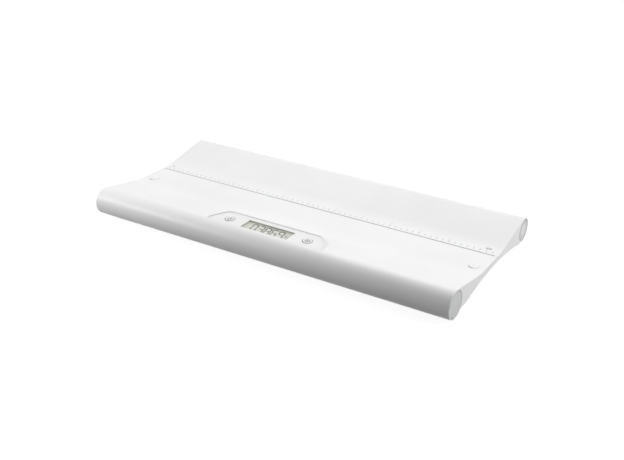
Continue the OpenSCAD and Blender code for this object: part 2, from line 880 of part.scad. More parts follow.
// Battery door: follows the underside, with two tabs at its rear edge
// and a finger recess at its front edge
module battery_door() {
    y0 = door_front + door_gap;
    y1 = door_rear - door_gap;
    pivot_z = under_z(door_rear);
    color(base_white) difference() {
        union() {
            difference() {
                intersection() {
                    along_x(2 * (door_x - door_gap)) polygon(section(0));
                    block([-door_x, y0, 0], [door_x, y1, 30]);
                }
                along_x(200) polygon(section(wall - 0.3));
            }
            for (s = [-1, 1]) translate([s * tab_x, 0, 0])
                along_x(tab_w) polygon([[y1 - 3.2, pivot_z + 1],
                    [y1 - 1.6, pivot_z + 1], [y1 - 1.6, pivot_z + tab_up],
                    [y1 + 3.4, pivot_z + tab_up],
                    [y1 + 3.4, pivot_z + tab_up + 1.4],
                    [y1 - 3.2, pivot_z + tab_up + 1.4]]);
            along_x(latch_w) polygon([[y0 + 0.6, skirt_z + 1],
                [y0 + 3, skirt_z + 1], [y0 + 2.1, latch_top],
                [y0 + 0.9, latch_top]]);
        }
        translate([0, y0 + 7, skirt_z - 5]) rod_x(6, 22);
    }
}

// Route of a load cell's lead: up out of the foot housing, then along
// the tube or across the tray's hollow to the board
function lead_route(sx, sy) = sy < 0
    ? [[foot_x, lead_off - foot_y, 9.3], [foot_x, lead_off - foot_y, 19],
       [foot_x - 3, lead_off - foot_y, 22], [foot_x - 12, -88, 23],
       [240, -96, 23], [200, -98, 23], [120, -98, 24],
       [100, -99, 27], [86, -101.5, 32.6], [78, -102.4, board_z - 1.6],
       [73, -102.4, board_z - 1.6]]
    : [[foot_x, lead_off + foot_y, 9.3], [foot_x, lead_off + foot_y, 23],
       [foot_x - 3, lead_off + foot_y - 1, 26],
       [foot_x - 16, foot_y + 4, 27], [238, 88, 26], [230, 70, 25],
       [226, 50, 25.3], [225, 12, 27], [225, -30, 25.2],
       [224, -60, 23], [218, -84, 23], [200, -92, 24.5], [150, -93, 26],
       [114, -94, 27.4], [94, -97.4, 31.6], [80, -99.6, board_z - 1.6],
       [73, -99.6, board_z - 1.6]];

module cell_leads() {
    color([0.85, 0.85, 0.82]) for (sx = [-1, 1], sy = [-1, 1])
        sweep([for (p = lead_route(sx, sy)) [sx * p.x, p.y, p.z]], 1.1, 8);
}

module battery_leads() {
    color([0.7, 0.1, 0.1]) for (k = [0, 1]) {
        x0 = bay_lead_x - 1 + 1.8 * k;
        x1 = battery_socket_x - 1 + 2.4 * k;
        sweep([[x0, bay_lead_y, bay_top - 0.6], [x0, bay_lead_y, bay_top + 2.4],
               [x0 - 0.4, bay_lead_y - 3, bay_top + 4],
               [x0 - 3, bay_lead_y - 12, bay_top + 4.4],
               [x1, bay_lead_y - 21, board_z - 1.6],
               [x1, battery_socket_y + 3, board_z - 1.6]], 0.7, 8);
    }
}

tray_shell();
base_shell();
front_left_cap();
front_right_cap();
rear_left_cap();
rear_right_cap();
left_tray_plug();
right_tray_plug();
console_housing();
power_button();
hold_button();
lcd_window();
lcd_panel();
lcd_frame();
zebra_strips();
main_board();
board_components();
power_switch();
hold_switch();
power_plunger();
hold_plunger();
buzzer();
board_screws();
base_screws();
front_left_cell_carrier();
front_right_cell_carrier();
rear_left_cell_carrier();
rear_right_cell_carrier();
front_left_load_cell();
front_right_load_cell();
rear_left_load_cell();
rear_right_load_cell();
front_left_foot();
front_right_foot();
rear_left_foot();
rear_right_foot();
front_left_foot_pad();
front_right_foot_pad();
rear_left_foot_pad();
rear_right_foot_pad();
batteries();
battery_contacts();
battery_springs();
battery_door();
cell_leads();
battery_leads();
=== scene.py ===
"""Looks of a digital baby weighing scale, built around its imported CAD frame.

Metres, in the frame's own axes: X along the tray, Y to the back, Z up,
the origin on the table under the middle. Everything is drawn by code.
Prints and masks are given in millimetres and turned into metres by MM.
"""
import math

import bmesh
import bpy
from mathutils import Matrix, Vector
from mathutils.bvhtree import BVHTree


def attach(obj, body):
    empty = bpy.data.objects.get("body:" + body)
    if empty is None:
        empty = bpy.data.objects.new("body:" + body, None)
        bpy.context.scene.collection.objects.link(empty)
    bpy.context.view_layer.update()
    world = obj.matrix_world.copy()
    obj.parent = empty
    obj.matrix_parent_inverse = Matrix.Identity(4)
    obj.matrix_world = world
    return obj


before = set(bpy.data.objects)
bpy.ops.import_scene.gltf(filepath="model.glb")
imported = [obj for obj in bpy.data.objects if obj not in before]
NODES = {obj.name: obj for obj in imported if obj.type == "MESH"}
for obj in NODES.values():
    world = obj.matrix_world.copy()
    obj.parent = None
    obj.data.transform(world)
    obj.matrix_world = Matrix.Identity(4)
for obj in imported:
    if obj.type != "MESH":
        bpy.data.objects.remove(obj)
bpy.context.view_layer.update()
MM = 0.001

# ------------------------------------------------- sizes, in millimetres
# Ruler, from the tray's left edge
TICK_PITCH = 10.0
RULER_ZERO = -315.0
RULER_LAST = 62
TICK_FRONT, TICK_REAR = 25.8, 31.4
LONG_TICK_FRONT, LONG_TICK_REAR = 25.2, 32.0
TICK_W, LONG_TICK_W = 0.6, 0.65
LONG_TICK_EACH = 5
NUMERAL_Y, NUMERAL_H = 35.8, 3.8
# Figure, X, Y and height of the ruler's two larger end figures
END_FIGURES = (("0", -302.0, 35.4, 5.0), ("60", 295.5, 36.4, 6.0))

# Tray: groove, flat floor, plugs and the rear tube's axis in Y and Z
GROOVE_Y, GROOVE_HALF = 20.65, 1.0
FLOOR_TOP = 31.4
GROOVE_TOP_FADE = (0.25, 0.1)
GROOVE_LOW_FADE = (1.8, 1.7)
PLUG_AT = (297.0, -22.5)
PLUG_TOP_R, PLUG_SOFT = 7.5, 0.15
# Way and fade of the painted shade on the plugs' front-left edge
PLUG_LEAN, PLUG_FADE = (0.35, 0.94), (-7.4, -5.8)
REAR_AXIS = (127.75, 29.0)
# Size and soft edge of the painted light in the middle of the rear caps
CAP_MIDDLE_R, CAP_SOFT = 9.5, 1.2

# Keys and the bores that they sit in
BUTTON_X, BUTTON_Y = 70.3, -107.8
BORE_R, KEY_TOP_R = 8.35, 7.3
# Way and fade of the painted shade in the gaps round the keys
RING_LEAN, RING_FADE = (0.9, 0.6), (-6.0, 8.0)

# Console: its face, its rim and the display's opening
FACE_Z = 46.4
TOP_Z = 47.5
RIM_HALF, RIM_CORNER, RIM_SLANT, RIM_REAR = 75.0, 20.0, 26.0, -84.75
PANEL_TOP = 42.7
LCD_HALF_W, LCD_FRONT, LCD_REAR = 41.65, -121.0, -95.5
OPENING_SLACK = 0.15
OPENING_FADE = (0.5, 0.2)
FLANK_FADE = (0.3, 0.45)     # share of the normal along X and along Z
GLASS_HALF = 42.0

# Feet of the console's rim, on the crest of the front tube
RIM_FOOT_FRONT, RIM_FOOT_CREST = -123.3, -118.4
RIM_FOOT_SLOPE, RIM_FOOT_REAR = -115.6, -115.2
RIM_FOOT_LOW = 45.9
RIM_FOOT_OUTER, RIM_FOOT_INNER = 1.25, 2.8
RIM_FOOT_LIFT, RIM_FOOT_SINK = 0.05, 0.04

# Prints
INK_LIFT, INK_SINK = 0.05, 0.02
RAY_START = 200.0            # above the whole object
CAP_SHARE = 0.7              # a figure's height, as a share of its font size

# Display figures, each of seven bars, and the unit after them
DISPLAY_TEXT = "03869"
SEGMENTS = {"0": "abcdef", "3": "abcdg", "8": "abcdefg", "6": "acdefg",
            "9": "abcdfg"}
DIGIT_W, DIGIT_H, BAR, BAR_GAP = 8.3, 19.2, 2.2, 0.22
DIGIT_X, DIGIT_PITCH, DIGIT_LOW = -29.7, 12.0, -116.4
LEAN = math.tan(math.radians(-7))
POINT_AFTER, POINT_SHIFT, POINT_HALF = 2, -1.6, 0.7
UNIT_BAR = 0.8
K_X, K_LOW, K_TOP = 31.0, -111.0, -103.4
K_ARM = ((31.0, -108.6), (33.6, -106.0))
K_LEG = ((31.8, -108.0), (33.8, K_LOW))
G_LEFT, G_RIGHT = 35.4, 38.0
G_TOP, G_MIDDLE, G_TAIL = -106.2, -110.4, -112.8
G_TAIL_LEFT = 35.6

# Signs on the keys
POWER_R, POWER_LINE, POWER_SHIFT = 3.2, 1.1, -0.3
POWER_GAP, POWER_STEPS = 35.0, 28
POWER_BAR_H, POWER_BAR_W = 4.4, 1.2
HOLD_R, HOLD_LINE, HOLD_STEPS = 3.6, 1.0, 32
HOLD_BAR_X, HOLD_BAR_HALF, HOLD_BAR_W = 1.1, 1.5, 1.0


# ------------------------------------------------------- shader helpers
def new_tree(name):
    """Material with an empty tree but for its output and one shader."""
    mat = bpy.data.materials.new(name)
    mat.use_nodes = True
    tree = mat.node_tree
    tree.nodes.clear()
    out = tree.nodes.new("ShaderNodeOutputMaterial")
    shader = tree.nodes.new("ShaderNodeBsdfPrincipled")
    tree.links.new(shader.outputs[0], out.inputs["Surface"])
    return mat, tree, shader


def node(tree, kind, links=None, **values):
    """Adds a node, sets its inputs by name, and links what is given."""
    made = tree.nodes.new(kind)
    for key, value in values.items():
        made.inputs[key.replace("_", " ")].default_value = value
    for key, socket in (links or {}).items():
        tree.links.new(socket, made.inputs[key])
    return made


def object_coords(tree):
    """Place on the surface, in the piece's own axes."""
    return tree.nodes.new("ShaderNodeTexCoord").outputs["Object"]


def axes(tree, vector):
    """The X, Y and Z sockets of a vector."""
    return node(tree, "ShaderNodeSeparateXYZ", {"Vector": vector}).outputs


def noise(tree, coords, scale, detail=3.0, rough=0.5):
    return node(tree, "ShaderNodeTexNoise", {"Vector": coords},
                Scale=scale, Detail=detail, Roughness=rough).outputs["Fac"]


def ranged(tree, socket, low, high, lo_in=0.3, hi_in=0.7):
    """Maps a field from lo_in..hi_in to low..high."""
    return node(tree, "ShaderNodeMapRange", {"Value": socket},
                From_Min=lo_in, From_Max=hi_in, To_Min=low,
                To_Max=high).outputs["Result"]


def mixed(tree, fac, one, two):
    """Colour mix: one where fac is 0, two where it is 1."""
    made = tree.nodes.new("ShaderNodeMix")
    made.data_type = "RGBA"
    for name, kind, value in (("Factor", "VALUE", fac), ("A", "RGBA", one),
                              ("B", "RGBA", two)):
        target = next(s for s in made.inputs
                      if s.name == name and s.type == kind)
        if hasattr(value, "links"):
            tree.links.new(value, target)
        else:
            target.default_value = (*value, 1.0)
    return next(s for s in made.outputs if s.type == "RGBA")


def maths(tree, operation, one, two=0.0):
    """Result of a math node on sockets or plain numbers."""
    made = tree.nodes.new("ShaderNodeMath")
    made.operation = operation
    for k, value in enumerate((one, two)):
        if hasattr(value, "links"):
            tree.links.new(value, made.inputs[k])
        else:
            made.inputs[k].default_value = value
    return made.outputs[0]


def between(tree, socket, low, high, soft=0.03):
    """1 where low < socket < high, with soft edges. Millimetres."""
    up = ranged(tree, socket, 0.0, 1.0, (low - soft) * MM, (low + soft) * MM)
    down = ranged(tree, socket, 1.0, 0.0, (high - soft) * MM,
                  (high + soft) * MM)
    return maths(tree, "MULTIPLY", up, down)


def below(tree, socket, top, fade):
    """1 under a height, fading out over the two depths below it."""
    return ranged(tree, socket, 1.0, 0.0, (top - fade[0]) * MM,
                  (top - fade[1]) * MM)


def within(tree, one, two, radius, soft=0.05):
    """1 where two offsets lie within a radius of zero."""
    square = maths(tree, "ADD", maths(tree, "MULTIPLY", one, one),
                   maths(tree, "MULTIPLY", two, two))
    away = maths(tree, "SQRT", square)
    return ranged(tree, away, 1.0, 0.0, (radius - soft) * MM,
                  (radius + soft) * MM)


def from_pair(tree, x, y, place):
    """Offsets in plan from the nearer of two places that mirror each
    other left and right; the first counts away from the middle."""
    side = maths(tree, "ABSOLUTE", x)
    return (maths(tree, "SUBTRACT", side, place[0] * MM),
            maths(tree, "SUBTRACT", y, place[1] * MM))


def leaning(tree, x, offsets, way, fade):
    """0 to 1 across either of the two places, along the same way."""
    right = maths(tree, "MULTIPLY", maths(tree, "SIGN", x), offsets[0])
    across = maths(tree, "ADD", maths(tree, "MULTIPLY", right, way[0]),
                   maths(tree, "MULTIPLY", offsets[1], way[1]))
    return ranged(tree, across, 0.0, 1.0, fade[0] * MM, fade[1] * MM)


def relief(tree, shader, height, strength, depth, edge=0.0):
    """Fine relief from a height field, over edges that look rounded by
    edge metres."""
    bump = node(tree, "ShaderNodeBump", {"Height": height},
                Strength=strength, Distance=depth)
    if edge:
        round_off = node(tree, "ShaderNodeBevel", Radius=edge)
        round_off.samples = 4
        tree.links.new(round_off.outputs[0], bump.inputs["Normal"])
    tree.links.new(bump.outputs[0], shader.inputs["Normal"])


# ------------------------------------------------------ tones by place
def cap_tones(tree, coords, tone):
    """Rear end cap: painted light, a paler middle inside its ring."""
    _, y, z = axes(tree, coords)
    dy = maths(tree, "SUBTRACT", y, REAR_AXIS[0] * MM)
    dz = maths(tree, "SUBTRACT", z, REAR_AXIS[1] * MM)
    middle = within(tree, dy, dz, CAP_MIDDLE_R, CAP_SOFT)
    return mixed(tree, middle, tone, (0.76, 0.762, 0.765))


def plug_tones(tree, coords, tone):
    """Tray plug: painted shade, a grey edge towards the front left."""
    x, y, _ = axes(tree, coords)
    offsets = from_pair(tree, x, y, PLUG_AT)
    middle = within(tree, *offsets, PLUG_TOP_R, PLUG_SOFT)
    edge = mixed(tree, leaning(tree, x, offsets, PLUG_LEAN, PLUG_FADE),
                 (0.22, 0.222, 0.225), tone)
    return mixed(tree, middle, edge, tone)


def near_key(tree, x, y, radius):
    """1 within radius of a key's axis, in plan."""
    return within(tree, *from_pair(tree, x, y, (BUTTON_X, BUTTON_Y)), radius)


def ring_tone(tree, x, y):
    """Painted shade of the gap round a key: grey, darker to the front left."""
    offsets = from_pair(tree, x, y, (BUTTON_X, BUTTON_Y))
    return mixed(tree, leaning(tree, x, offsets, RING_LEAN, RING_FADE),
                 (0.10, 0.10, 0.105), (0.42, 0.42, 0.425))


def key_tones(tree, coords, tone):
    """Painted shade on the edge round the top of a key."""
    x, y, _ = axes(tree, coords)
    middle = near_key(tree, x, y, KEY_TOP_R)
    return mixed(tree, middle, ring_tone(tree, x, y), tone)


def flank_mask(tree):
    """1 on faces that lean up and to the right, where painted shade goes."""
    normal = tree.nodes.new("ShaderNodeNewGeometry").outputs["Normal"]
    across, _, up = axes(tree, normal)
    return maths(tree, "MULTIPLY", ranged(tree, across, 0.0, 1.0, *FLANK_FADE),
                 ranged(tree, up, 0.0, 1.0, *FLANK_FADE))


def console_tones(tree, coords, tone):
    """Olive-grey inside faces of the display's opening, painted shade in the
    bores round the keys, and painted shade on the slanted side."""
    x, y, z = axes(tree, coords)
    side = LCD_HALF_W + OPENING_SLACK
    inside = maths(tree, "MULTIPLY", between(tree, x, -side, side),
                   between(tree, y, LCD_FRONT - OPENING_SLACK,
                           LCD_REAR + OPENING_SLACK))
    collar = maths(tree, "MULTIPLY", inside,
                   below(tree, z, FACE_Z, OPENING_FADE))
    tone = mixed(tree, collar, tone, (0.44, 0.445, 0.38))
    # Painted shade in the gaps of the bores round the keys
    tone = mixed(tree, near_key(tree, x, y, BORE_R), tone,
                 ring_tone(tree, x, y))
    # Painted shade on the slanted side, which faces away from the lamps
    return mixed(tree, flank_mask(tree), tone, (0.70, 0.702, 0.70))


def groove_shade(tree, coords, tone):
    """Painted shade: grey inside faces of the ruler groove."""
    _, y, z = axes(tree, coords)
    inside = between(tree, y, GROOVE_Y - GROOVE_HALF, GROOVE_Y + GROOVE_HALF)
    under = below(tree, z, FLOOR_TOP, GROOVE_TOP_FADE)
    over = ranged(tree, z, 0.0, 1.0, (FLOOR_TOP - GROOVE_LOW_FADE[0]) * MM,
                  (FLOOR_TOP - GROOVE_LOW_FADE[1]) * MM)
    depth = maths(tree, "MULTIPLY", under, over)
    return mixed(tree, maths(tree, "MULTIPLY", inside, depth), tone,
                 (0.42, 0.425, 0.43))


# ------------------------------------------------------------ materials
def moulded(name, colour, rough, grain=0.00003, mottle=0.02, edge=0.0005,
            extra=None):
    """Moulded plastic: a faint cloudy tone, fine spark-eroded grain, and a
    gloss that varies a little over the surface."""
    mat, tree, shader = new_tree(name)
    coords = object_coords(tree)
    tone = mixed(tree, ranged(tree, noise(tree, coords, 9.0, 2.0), 0.0, 1.0),
                 tuple(c * (1 - mottle) for c in colour),
                 tuple(min(1.0, c * (1 + mottle)) for c in colour))
    if extra:
        tone = extra(tree, coords, tone)
    tree.links.new(tone, shader.inputs["Base Color"])
    gloss = ranged(tree, noise(tree, coords, 60.0, 4.0),
                   rough - 0.05, rough + 0.05)
    tree.links.new(gloss, shader.inputs["Roughness"])
    relief(tree, shader, noise(tree, coords, 1400.0, 2.0, 0.6), 0.5, grain,
           edge)
    shader.inputs["IOR"].default_value = 1.5
    return mat


def metal(name, colour, rough):
    """Plated steel: fine drawing lines and slightly cloudy gloss."""
    mat, tree, shader = new_tree(name)
    coords = object_coords(tree)
    drawn = node(tree, "ShaderNodeMapping", {"Vector": coords},
                 Scale=(80.0, 900.0, 900.0)).outputs[0]
    lines = noise(tree, drawn, 1.0, 3.0)
    cloud = noise(tree, coords, 120.0, 3.0)
    tone = mixed(tree, ranged(tree, cloud, 0.0, 1.0),
                 tuple(c * 0.9 for c in colour), colour)
    tree.links.new(tone, shader.inputs["Base Color"])
    tree.links.new(ranged(tree, lines, rough - 0.08, rough + 0.08),
                   shader.inputs["Roughness"])
    relief(tree, shader, lines, 0.3, 0.00002, 0.0002)
    shader.inputs["Metallic"].default_value = 1.0
    return mat


def rubber(name, colour):
    """Matt rubber with coarse grain and a dusty tone on its high spots."""
    mat, tree, shader = new_tree(name)
    coords = object_coords(tree)
    grain = noise(tree, coords, 700.0, 4.0, 0.65)
    dust = noise(tree, coords, 35.0, 4.0)
    tone = mixed(tree, ranged(tree, dust, 0.0, 0.35), colour,
                 tuple(min(1.0, c * 1.6 + 0.02) for c in colour))
    tree.links.new(tone, shader.inputs["Base Color"])
    tree.links.new(ranged(tree, grain, 0.72, 0.92), shader.inputs["Roughness"])
    relief(tree, shader, grain, 0.8, 0.00012, 0.0004)
    shader.inputs["Specular IOR Level"].default_value = 0.3
    return mat


def display_glass():
    """Liquid-crystal glass: olive grey, a little paler to the left, with the
    slight cloud of its rear film, and a faint glow that is painted light."""
    mat, tree, shader = new_tree("display_glass")
    coords = object_coords(tree)
    along = ranged(tree, axes(tree, coords)[0], 0.0, 1.0, -GLASS_HALF * MM,
                   GLASS_HALF * MM)
    base = mixed(tree, along, (0.26, 0.265, 0.235), (0.25, 0.26, 0.23))
    cloud = noise(tree, coords, 160.0, 4.0)
    tone = mixed(tree, ranged(tree, cloud, 0.0, 0.25), base,
                 (0.20, 0.205, 0.18))
    tree.links.new(tone, shader.inputs["Base Color"])
    tree.links.new(ranged(tree, noise(tree, coords, 2200.0), 0.28, 0.38),
                   shader.inputs["Roughness"])
    # Painted light: a faint glow that lifts the shade inside the opening,
    # though the display has no lamp
    shader.inputs["Emission Color"].default_value = (0.99, 1.0, 0.91, 1.0)
    shader.inputs["Emission Strength"].default_value = 0.36
    return mat


def clear_window():
    """Thin clear window: nearly see-through, with a polished face."""
    mat, tree, shader = new_tree("clear_window")
    coords = object_coords(tree)
    smear = noise(tree, coords, 45.0, 5.0)
    tone = mixed(tree, ranged(tree, smear, 0.0, 1.0),
                 (0.80, 0.83, 0.78), (0.88, 0.90, 0.86))
    tree.links.new(tone, shader.inputs["Base Color"])
    tree.links.new(ranged(tree, smear, 0.03, 0.09), shader.inputs["Roughness"])
    shader.inputs["Alpha"].default_value = 0.10
    shader.inputs["IOR"].default_value = 1.49
    return mat


def circuit_board():
    """Green solder mask over faint copper runs."""
    mat, tree, shader = new_tree("circuit_board")
    coords = object_coords(tree)
    runs = node(tree, "ShaderNodeTexVoronoi", {"Vector": coords}, Scale=260.0)
    runs.feature = "DISTANCE_TO_EDGE"
    lines = ranged(tree, runs.outputs[0], 1.0, 0.0, 0.02, 0.06)
    tone = mixed(tree, lines, (0.018, 0.11, 0.045), (0.05, 0.22, 0.08))
    tree.links.new(tone, shader.inputs["Base Color"])
    tree.links.new(ranged(tree, noise(tree, coords, 300.0), 0.3, 0.45),
                   shader.inputs["Roughness"])
    relief(tree, shader, lines, 0.5, 0.00004)
    return mat


def ink(name, colour, rough=0.55):
    """Pad-printed ink: slightly uneven in tone and gloss."""
    mat, tree, shader = new_tree(name)
    patch = noise(tree, object_coords(tree), 420.0, 3.0)
    tone = mixed(tree, ranged(tree, patch, 0.0, 1.0), colour,
                 tuple(min(1.0, c * 1.25 + 0.01) for c in colour))
    tree.links.new(tone, shader.inputs["Base Color"])
    tree.links.new(ranged(tree, patch, rough - 0.05, rough + 0.05),
                   shader.inputs["Roughness"])
    return mat


TRAY_WHITE = (0.83, 0.832, 0.832)
CONSOLE = moulded("console_plastic", (0.82, 0.822, 0.82), 0.38,
                  edge=0.0003, extra=console_tones)
TRAY = moulded("tray_shell_plastic", TRAY_WHITE, 0.36, extra=groove_shade)
PLUG = moulded("plug_plastic", TRAY_WHITE, 0.38, extra=plug_tones)
KEYS = moulded("keys", (0.80, 0.80, 0.795), 0.40, extra=key_tones)
REAR_CAP = moulded("rear_cap_plastic", (0.60, 0.605, 0.61), 0.42,
                   extra=cap_tones)

# Finishes of single nodes, and of the others by their material slot
NODE_FINISHES = {"console_housing": CONSOLE, "tray_shell": TRAY,
                 "power_button": KEYS, "hold_button": KEYS,
                 "rear_left_cap": REAR_CAP, "rear_right_cap": REAR_CAP,
                 "left_tray_plug": PLUG, "right_tray_plug": PLUG}
SLOT_FINISHES = {
    "cover_plastic": moulded("cover_plastic", (0.76, 0.762, 0.762), 0.48,
                             grain=0.00006, mottle=0.025),
    "cap_plastic": moulded("cap_plastic", (0.62, 0.625, 0.63), 0.42),
    "frame_plastic": moulded("frame_plastic", (0.70, 0.70, 0.70), 0.5),
    "component_black": moulded("component_black", (0.025, 0.025, 0.027), 0.45),
    "plunger_plastic": moulded("plunger_plastic", (0.35, 0.03, 0.03), 0.4),
    "foot_plastic": moulded("foot_plastic", (0.66, 0.66, 0.665), 0.5),
    "cell_sleeve": moulded("cell_sleeve", (0.06, 0.09, 0.13), 0.3),
    "lead_jacket": moulded("lead_jacket", (0.70, 0.70, 0.66), 0.5, edge=0.0),
    "battery_lead_jacket": moulded("battery_lead_jacket", (0.45, 0.02, 0.02),
                                   0.5, edge=0.0),
    "clear_window": clear_window(),
    "display_glass": display_glass(),
    "zebra_rubber": rubber("zebra_rubber", (0.05, 0.05, 0.055)),
    "pad_rubber": rubber("pad_rubber", (0.10, 0.10, 0.105)),
    "circuit_board": circuit_board(),
    "plated_steel": metal("plated_steel", (0.70, 0.71, 0.73), 0.28),
    "cell_steel": metal("cell_steel", (0.62, 0.63, 0.65), 0.34),
}
RULER_INK = ink("ruler_ink", (0.25, 0.255, 0.26))
NUMERAL_INK = ink("numeral_ink", (0.62, 0.63, 0.64))
END_INK = ink("end_figure_ink", (0.16, 0.165, 0.17))
KEY_INK = ink("key_ink", (0.09, 0.09, 0.095))
SEGMENT_INK = ink("segment_ink", (0.055, 0.06, 0.045), 0.4)


# --------------------------------------------------- shading of CAD nodes
SHARP_ANGLE = 26.0           # degrees between two faces
WELD_GAP = 2e-6


def soft_shading():
    """Node group: smooth faces, with edges above SHARP_ANGLE kept sharp."""
    group = bpy.data.node_groups.new("soft_shading", "GeometryNodeTree")
    for way in ("INPUT", "OUTPUT"):
        group.interface.new_socket("Geometry", in_out=way,
                                   socket_type="NodeSocketGeometry")
    add = group.nodes.new
    source, sink = add("NodeGroupInput"), add("NodeGroupOutput")
    drop = add("GeometryNodeRemoveAttribute")
    drop.inputs["Name"].default_value = "custom_normal"
    faces = add("GeometryNodeSetShadeSmooth")
    faces.domain = "FACE"
    faces.inputs["Shade Smooth"].default_value = True
    edges = add("GeometryNodeSetShadeSmooth")
    edges.domain = "EDGE"
    edges.inputs["Shade Smooth"].default_value = False
    angle = add("GeometryNodeInputMeshEdgeAngle")
    sharp = add("FunctionNodeCompare")
    sharp.data_type = "FLOAT"
    sharp.operation = "GREATER_THAN"
    sharp.inputs["B"].default_value = math.radians(SHARP_ANGLE)
    link = group.links.new
    link(angle.outputs["Unsigned Angle"], sharp.inputs["A"])
    link(source.outputs[0], drop.inputs["Geometry"])
    link(drop.outputs[0], faces.inputs["Geometry"])
    link(faces.outputs[0], edges.inputs["Geometry"])
    link(sharp.outputs[0], edges.inputs["Selection"])
    link(edges.outputs[0], sink.inputs[0])
    return group


SMOOTH = soft_shading()


def soften(obj):
    """Even shading over a solid's curves, by modifiers alone."""
    weld = obj.modifiers.new("weld", "WELD")
    weld.merge_threshold = WELD_GAP
    smooth = obj.modifiers.new("smooth", "NODES")
    smooth.node_group = SMOOTH
    even = obj.modifiers.new("even", "WEIGHTED_NORMAL")
    even.keep_sharp = True
    even.weight = 100


for name, obj in NODES.items():
    slot = obj.data.materials[0].name.split(".")[0]
    finish = NODE_FINISHES.get(name) or SLOT_FINISHES[slot]
    for worn in obj.material_slots:
        worn.material = finish
    soften(obj)


# ------------------------------------------------------------- new pieces
class Built:
    """Vertices in metres and faces, made into one piece of the scene."""

    def __init__(self):
        self.verts, self.faces = [], []

    def made(self, name, material, body, slot):
        """The piece, which moves with a body of the frame."""
        mesh = bpy.data.meshes.new(name)
        mesh.from_pydata(self.verts, [], self.faces)
        mesh.materials.append(material)
        obj = bpy.data.objects.new(name, mesh)
        bpy.context.scene.collection.objects.link(obj)
        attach(obj, body)
        return obj


def surface(name):
    """Height of a solid's upper side, as a function of X and Y."""
    mesh = NODES[name].data
    skin = BVHTree.FromPolygons([v.co.copy() for v in mesh.vertices],
                                [tuple(p.vertices) for p in mesh.polygons])

    def height(x, y):
        start = Vector((x, y, RAY_START)) * MM
        return skin.ray_cast(start, Vector((0, 0, -1)))[0].z / MM

    return height


class Print(Built):
    """Printed shapes, closed and a few hundredths thick, that lie at the
    height that a function of X and Y gives. Millimetres, seen from above."""

    def __init__(self, height):
        super().__init__()
        self.height = height

    def point(self, x, y, upper):
        z = self.height(x, y) + (INK_LIFT if upper else -INK_SINK)
        return Vector((x, y, z)) * MM

    def shape(self, outline):
        """Convex outline, counter-clockwise."""
        n, start = len(outline), len(self.verts)
        for upper in (True, False):
            self.verts += [self.point(x, y, upper) for x, y in outline]
        self.faces.append([start + k for k in range(n)])
        self.faces.append([start + n + k for k in reversed(range(n))])
        for k in range(n):
            j = (k + 1) % n
            self.faces.append([start + k, start + n + k, start + n + j,
                               start + j])

    def bar(self, x0, y0, x1, y1):
        """Rectangle between two corners."""
        self.shape([(x0, y0), (x1, y0), (x1, y1), (x0, y1)])

    def stroke(self, a, b, width):
        """Straight line from a to b with rounded ends."""
        base = math.atan2(b[1] - a[1], b[0] - a[0])
        outline = []
        for centre, turn in ((b, -90), (a, 90)):
            for k in range(5):
                t = base + math.radians(turn + 45 * k)
                outline.append((centre[0] + width / 2 * math.cos(t),
                                centre[1] + width / 2 * math.sin(t)))
        self.shape(outline)

    def ring(self, cx, cy, r, width, a0, a1, steps):
        """Ring or arc of one closed strip, from a0 to a1 degrees."""
        whole = a1 - a0 >= 360.0
        start, count = len(self.verts), steps if whole else steps + 1
        for k in range(count):
            t = math.radians(a0 + (a1 - a0) * k / steps)
            for rad in (r - width / 2, r + width / 2):
                for upper in (True, False):
                    self.verts.append(self.point(
                        cx + rad * math.cos(t), cy + rad * math.sin(t), upper))
        for k in range(steps):
            p, q = start + 4 * k, start + 4 * ((k + 1) % count)
            for a, b in ((0, 2), (2, 3), (3, 1), (1, 0)):
                self.faces.append([p + a, p + b, q + b, q + a])
        if not whole:
            last = start + 4 * steps
            self.faces.append([start, start + 1, start + 3, start + 2])
            self.faces.append([last, last + 2, last + 3, last + 1])

    def figures(self, text, x, y, height):
        """Plain figures from the built-in font, centred on x, y."""
        curve = bpy.data.curves.new("figures", "FONT")
        curve.body = text
        curve.size = height / CAP_SHARE
        curve.align_x = "CENTER"
        curve.align_y = "CENTER"
        curve.resolution_u = 3
        curve.extrude = 0.1
        temp = bpy.data.objects.new("figures", curve)
        bpy.context.scene.collection.objects.link(temp)
        bpy.context.view_layer.update()
        made = temp.evaluated_get(bpy.context.evaluated_depsgraph_get())
        form = bmesh.new()
        form.from_mesh(made.to_mesh())
        made.to_mesh_clear()
        bmesh.ops.remove_doubles(form, verts=form.verts, dist=0.001)
        start = len(self.verts)
        form.verts.index_update()
        self.verts += [self.point(x + v.co.x, y + v.co.y, v.co.z > 0)
                       for v in form.verts]
        self.faces += [[start + v.index for v in f.verts] for f in form.faces]
        form.free()
        bpy.data.objects.remove(temp)
        bpy.data.curves.remove(curve)


def ruler():
    """One tick a centimetre, a longer one each fifth, and its figures."""
    tray = surface("tray_shell")
    ticks, figures, ends = Print(tray), Print(tray), Print(tray)
    for k in range(1, RULER_LAST + 1):
        x = RULER_ZERO + TICK_PITCH * k
        if k % LONG_TICK_EACH == 0:
            half = LONG_TICK_W / 2
            ticks.bar(x - half, LONG_TICK_FRONT, x + half, LONG_TICK_REAR)
            if str(k) != END_FIGURES[-1][0]:
                figures.figures(str(k), x, NUMERAL_Y, NUMERAL_H)
        else:
            half = TICK_W / 2
            ticks.bar(x - half, TICK_FRONT, x + half, TICK_REAR)
    ticks.made("ruler_ticks", RULER_INK, "body", "tray_plastic")
    figures.made("ruler_figures", NUMERAL_INK, "body", "tray_plastic")
    for end_figure in END_FIGURES:
        ends.figures(*end_figure)
    ends.made("ruler_end_figures", END_INK, "body", "tray_plastic")


def lean(x, y):
    """Leans a point of a figure about its mid-height."""
    return (x + (y - DIGIT_LOW - DIGIT_H / 2) * LEAN, y)


